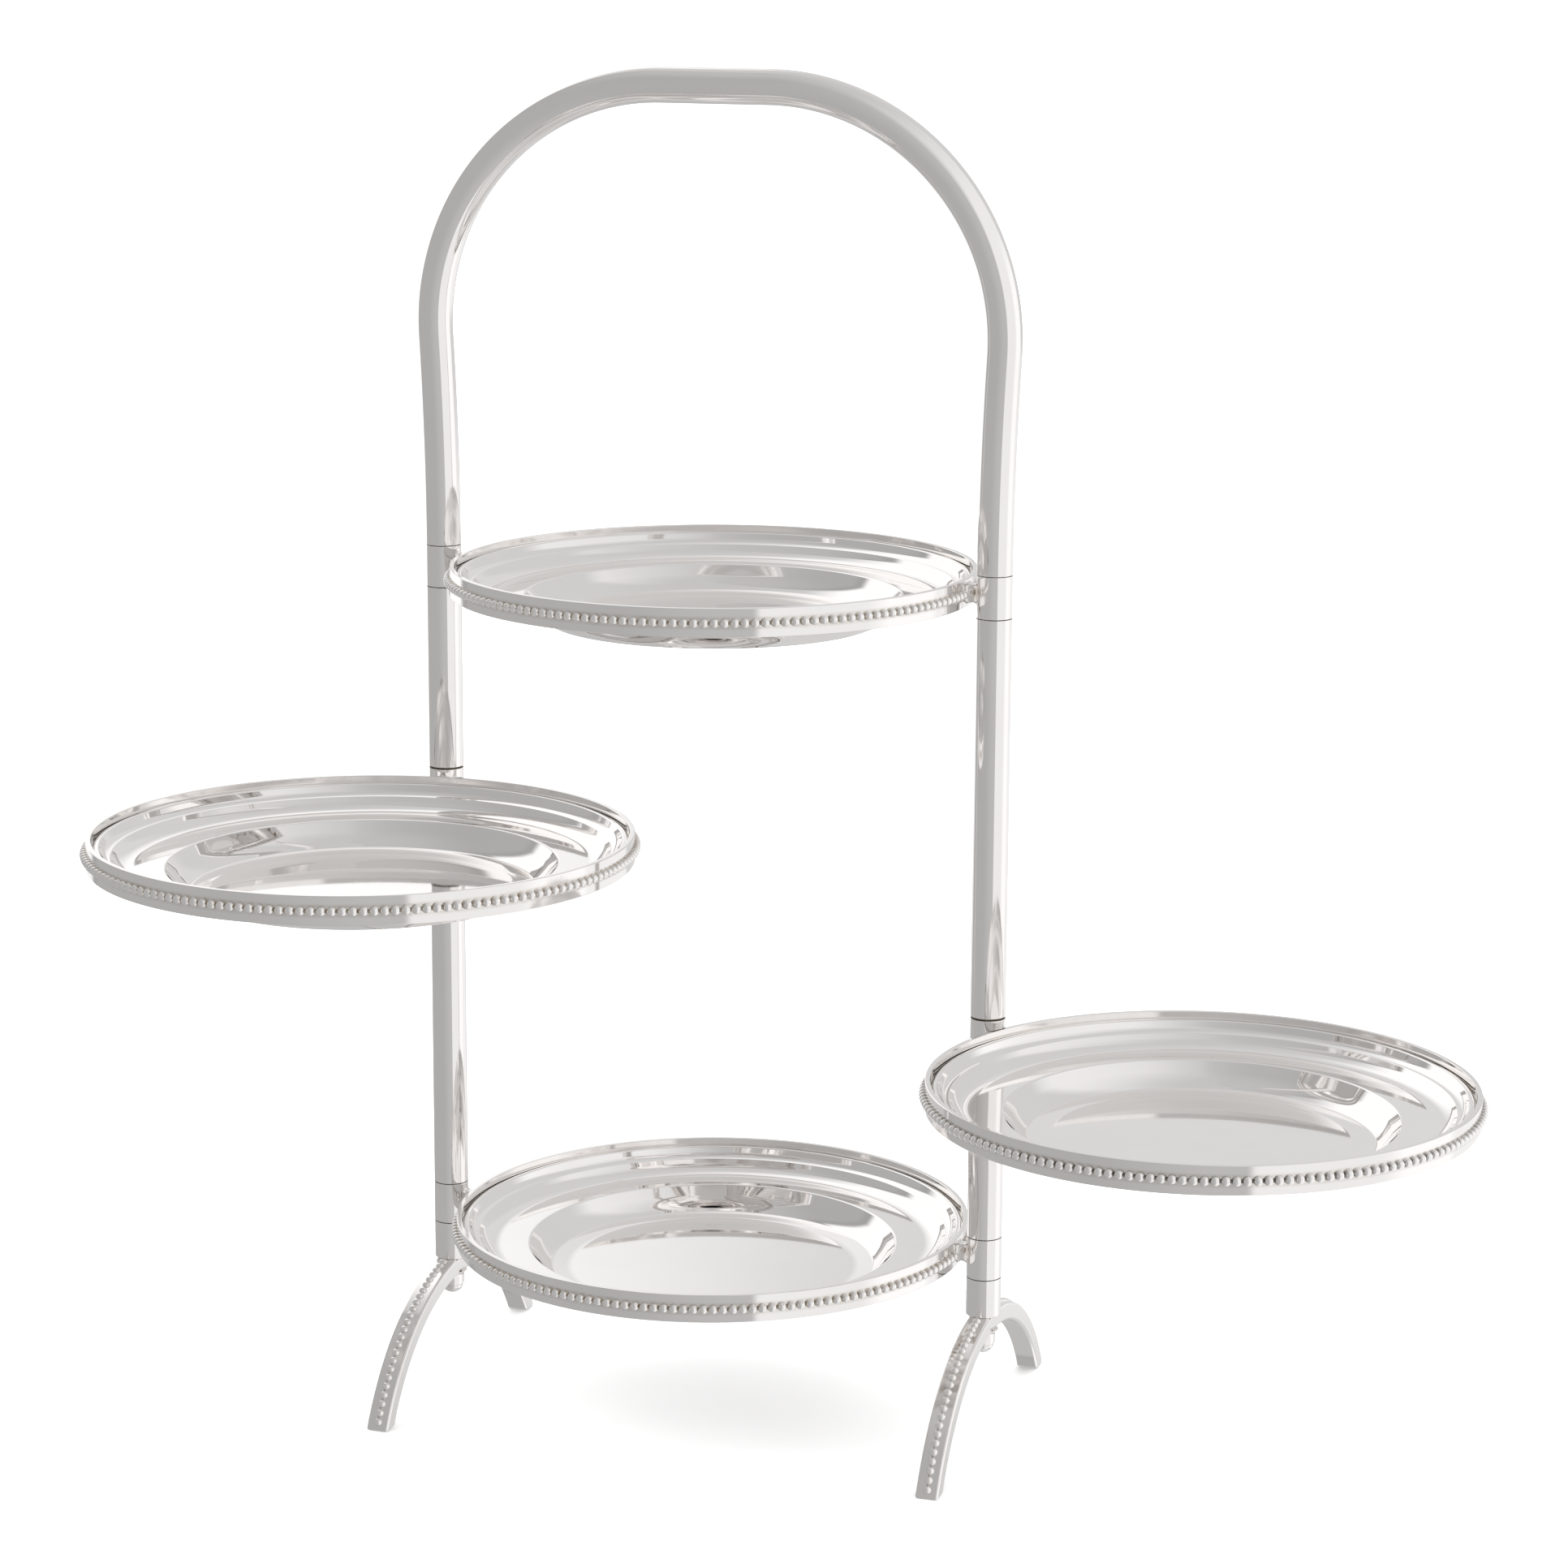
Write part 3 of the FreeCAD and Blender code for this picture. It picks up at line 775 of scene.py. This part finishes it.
def leg_bar():
    """Hoops of the arched bar, from the front foot to the back one, flat on the floor."""
    half = LEG_WIDE / 2
    inner = LEG_RADIUS - LEG_THICK
    section = rounded(
        [
            (-half, inner, LEG_ARRIS),
            (half, inner, LEG_ARRIS),
            (half, LEG_RADIUS, LEG_ARRIS),
            (-half, LEG_RADIUS, LEG_ARRIS),
        ]
    )

    def bar_hoop(share, lift=0.0, lean=0.0):
        """Hoop at a share of the way to a foot; lift and lean round the edge of the sole."""
        inset = FOOT_ROUND * (1 - math.cos(lean))
        out, down = math.cos(lean), math.sin(lean)
        places, normals = [], []
        for place, normal in section:
            place -= normal * inset
            angle = share * math.acos((lift - LEG_CENTRE) / place.imag)
            along, up = math.sin(angle), math.cos(angle)
            places.append((place.real, along * place.imag, up * place.imag + LEG_CENTRE))
            upward = out * normal.imag * up - down
            normals.append((out * normal.real, out * normal.imag * along, upward))
        return hoop(places, normals, LEG_STAIN)

    eases = [math.pi / 2 * step / 5 for step in range(6)]
    feet = [(FOOT_ROUND * (1 - math.sin(lean)), lean) for lean in eases]
    front = [bar_hoop(-1, lift, lean) for lift, lean in feet[::-1]]
    bar = [bar_hoop(share) for share in np.linspace(-1, 1, 81)[1:-1]]
    back = [bar_hoop(1, lift, lean) for lift, lean in feet]
    return front + bar + back


def leg(side):
    """Cast leg with its bead rows and the boss below the crown."""
    node = "leg_" + side
    skins = [leg_bar()]
    foot_angle = math.acos(-LEG_CENTRE / LEG_BEAD_LINE) - LEG_SOLE_GAP
    count = round((foot_angle - LEG_CROWN_GAP) * LEG_BEAD_LINE / LEG_PITCH)
    for heading in (-1, 1):
        turn = (LEG_CROWN_GAP, foot_angle, (0, 0, LEG_CENTRE), (0, 0, 1), (0, heading, 0))
        skins.append(bead_row(count, LEG_BEAD, BEAD_NECK, LEG_BEAD_LINE, *turn, around=12))
    underside = LEG_RADIUS - LEG_THICK + LEG_CENTRE
    outline = [
        (ROD_BORE, BOSS_LOW, 0.1),
        (BOSS_RADIUS, BOSS_LOW, 0.5),
        (BOSS_RADIUS, underside - 0.6, 1.6),
        (BOSS_RADIUS + 1.6, underside + 0.9, 0.3),
        (BOSS_RADIUS - 1.4, underside + 2.4, 0.2),
        (ROD_BORE, underside + 2.4, 0.1),
    ]

    # Tarnish and painted shade where the boss meets the underside of the leg.
    def shade_and_stain(_, height):
        return 0.6 if height > underside - 1 else 0.0

    skins.append(lathe(rounded(outline), CAST_SEGMENTS, shade_and_stain))
    piece(node, skins, CAST_SILVER, on_floor(middle("upper_tube_" + side)))


for side in SIDES:
    leg(side)


# ---------------------------------------------------------------- pieces that stay as CAD nodes

CORE_METALS = {
    "tie_rod_": STEEL,
    "arch_plug_": BRASS,
    "pivot_spindle_": BRASS,
    "upper_washer_": WORN_BRASS,
    "lower_washer_": WORN_BRASS,
}
for word, metal in CORE_METALS.items():
    for side in SIDES:
        mesh = frame["nodes"][word + side].data
        mesh.materials.clear()
        mesh.materials.append(metal)


# ---------------------------------------------------------------- floor, light and reflections


def floor():
    """Plain pale floor, wide enough to run to the horizon."""
    half = 100.0
    corners = [(-half, -half, 0), (half, -half, 0), (half, half, 0), (-half, half, 0)]
    mesh = bpy.data.meshes.new("floor")
    mesh.from_pydata(corners, [], [(0, 1, 2, 3)])
    plane = bpy.data.objects.new("floor", mesh)
    plane.location.z = -0.0002
    plane.visible_glossy = False
    bpy.context.scene.collection.objects.link(plane)
    nodes = Nodes("floor_paper")
    nodes.shader.inputs["Specular IOR Level"].default_value = 0.15
    grain = nodes.noise(nodes.place, 30.0, 5.0)
    nodes.plug(Base_Color=nodes.mix(grain, (0.905, 0.905, 0.905), (0.925, 0.925, 0.925)))
    nodes.plug(Roughness=nodes.spread(grain, 0.85, 0.95))
    mesh.materials.append(nodes.material)


def fade(value, start, end):
    """0 before start, 1 after end, and a smooth step between them."""
    share = np.clip((value - start) / (end - start), 0, 1)
    return share * share * (3 - 2 * share)


def between(value, low, high, soft):
    """1 from low to high and 0 outside, with edges as wide as soft to each side."""
    return fade(value, low - soft, low + soft) * (1 - fade(value, high - soft, high + soft))


def studio_glow(azimuth, elevation):
    """Brightness of the studio in each direction, in degrees round from the front and up.

    Azimuth grows towards +X. Each card covers what came before it, with soft edges.
    """
    glow = 0.66 - 0.07 * fade(elevation, 45, 85)
    back_left = fade(azimuth, -170, -150) * (1 - fade(azimuth, -113, -107))
    behind = between(azimuth, 178, 190, 6) + between(azimuth, -190, -166, 4)
    cards = [
        # dim, low on the back left
        (0.53, between(azimuth, -180, -110, 6) * (1 - fade(elevation, -26, -12))),
        # bright, back left
        (1.08, back_left * fade(elevation, -20, -10) * (1 - fade(elevation, 42, 60))),
        # straight behind
        (0.72, behind * between(elevation, -30, 34, 8)),
        # wide, on the right
        (0.89, between(azimuth, 20, 128, 8) * (1 - fade(elevation, 32, 82))),
        # bright panel, back right
        (1.06, between(azimuth, 92, 131, 8) * between(elevation, -70, 22, 10)),
        # low strip, back right
        (0.94, between(azimuth, 128, 170, 3) * between(elevation, -26, -3, 4)),
    ]
    for level, share in cards:
        glow = glow + (level - glow) * share
    # grey screen in front, which covers the cards and thins out overhead
    spread = 2.0 + 42.0 * fade(elevation, 12, 60)
    left_edge = -119.5 + 6.5 * fade(elevation, 0, 10)
    right_edge = 37.0
    grey = fade(azimuth, left_edge - 3, left_edge + 3)
    grey = grey * (1 - fade(azimuth, right_edge - spread, right_edge + spread * 0.8))
    grey = grey * (1 - 0.75 * fade(elevation, 45, 88))
    grey_level = 0.438 + 0.075 * fade(azimuth, -30, 25)
    grey_level = grey_level - 0.05 * between(azimuth, left_edge, left_edge + 7, 3)
    return glow + (grey_level - glow) * grey


def studio_dome():
    """Dome round the stand that only reflections see: it gives the silver its tones."""
    reach = 2.2
    centre = (middle("upper_tube_left") + middle("upper_tube_right")) / 2
    columns, rows = 360, 120
    azimuths = np.linspace(-180, 180, columns, endpoint=False)
    elevations = np.linspace(-90, 90, rows + 1)
    azimuth, elevation = np.meshgrid(azimuths, elevations)
    level = np.cos(np.radians(elevation))
    points = np.stack(
        [
            centre.x + reach * np.sin(np.radians(azimuth)) * level,
            centre.y - reach * np.cos(np.radians(azimuth)) * level,
            centre.z + reach * np.sin(np.radians(elevation)),
        ],
        axis=-1,
    )
    faces = []
    for row in range(rows):
        for column in range(columns):
            low = row * columns + column
            after = row * columns + (column + 1) % columns
            faces.append((low, low + columns, after + columns, after))
    mesh = bpy.data.meshes.new("studio_dome")
    mesh.from_pydata(points.reshape(-1, 3).tolist(), [], faces)
    glow = mesh.attributes.new("glow", "FLOAT", "POINT")
    glow.data.foreach_set("value", studio_glow(azimuth, elevation).astype(np.float32).ravel())
    shade = bpy.data.materials.new("studio_dome")
    shade.use_nodes = True
    shade.cycles.emission_sampling = "NONE"
    tree = shade.node_tree
    tree.nodes.clear()
    reader = tree.nodes.new("ShaderNodeAttribute")
    reader.attribute_name = "glow"
    glowing = tree.nodes.new("ShaderNodeEmission")
    output = tree.nodes.new("ShaderNodeOutputMaterial")
    tree.links.new(reader.outputs["Fac"], glowing.inputs["Strength"])
    tree.links.new(glowing.outputs[0], output.inputs["Surface"])
    mesh.materials.append(shade)
    dome = bpy.data.objects.new("studio_dome", mesh)
    bpy.context.scene.collection.objects.link(dome)
    for ray in ("camera", "diffuse", "transmission", "volume_scatter", "shadow"):
        setattr(dome, "visible_" + ray, False)


def white_room():
    """Even white light from all round, for the floor and the background."""
    world = bpy.data.worlds.new("white_room")
    world.use_nodes = True
    background = world.node_tree.nodes["Background"]
    background.inputs["Color"].default_value = (1.0, 1.0, 1.0, 1)
    background.inputs["Strength"].default_value = 2.4
    bpy.context.scene.world = world


def camera():
    view = bpy.data.cameras.new("camera")
    view.sensor_width = 36.0
    view.lens = CAMERA_LENS
    view.clip_end = 400.0
    shown = bpy.data.objects.new("camera", view)
    turn = Matrix.Rotation(math.radians(CAMERA_YAW), 4, "Z")
    turn = turn @ Matrix.Rotation(math.radians(90 - CAMERA_PITCH), 4, "X")
    turn = turn @ Matrix.Rotation(math.radians(CAMERA_ROLL), 4, "Z")
    shown.matrix_world = Matrix.Translation(Vector(CAMERA_PLACE)) @ turn
    bpy.context.scene.collection.objects.link(shown)
    bpy.context.scene.camera = shown


floor()
white_room()
studio_dome()
camera()
bpy.context.scene.view_settings.view_transform = "Standard"
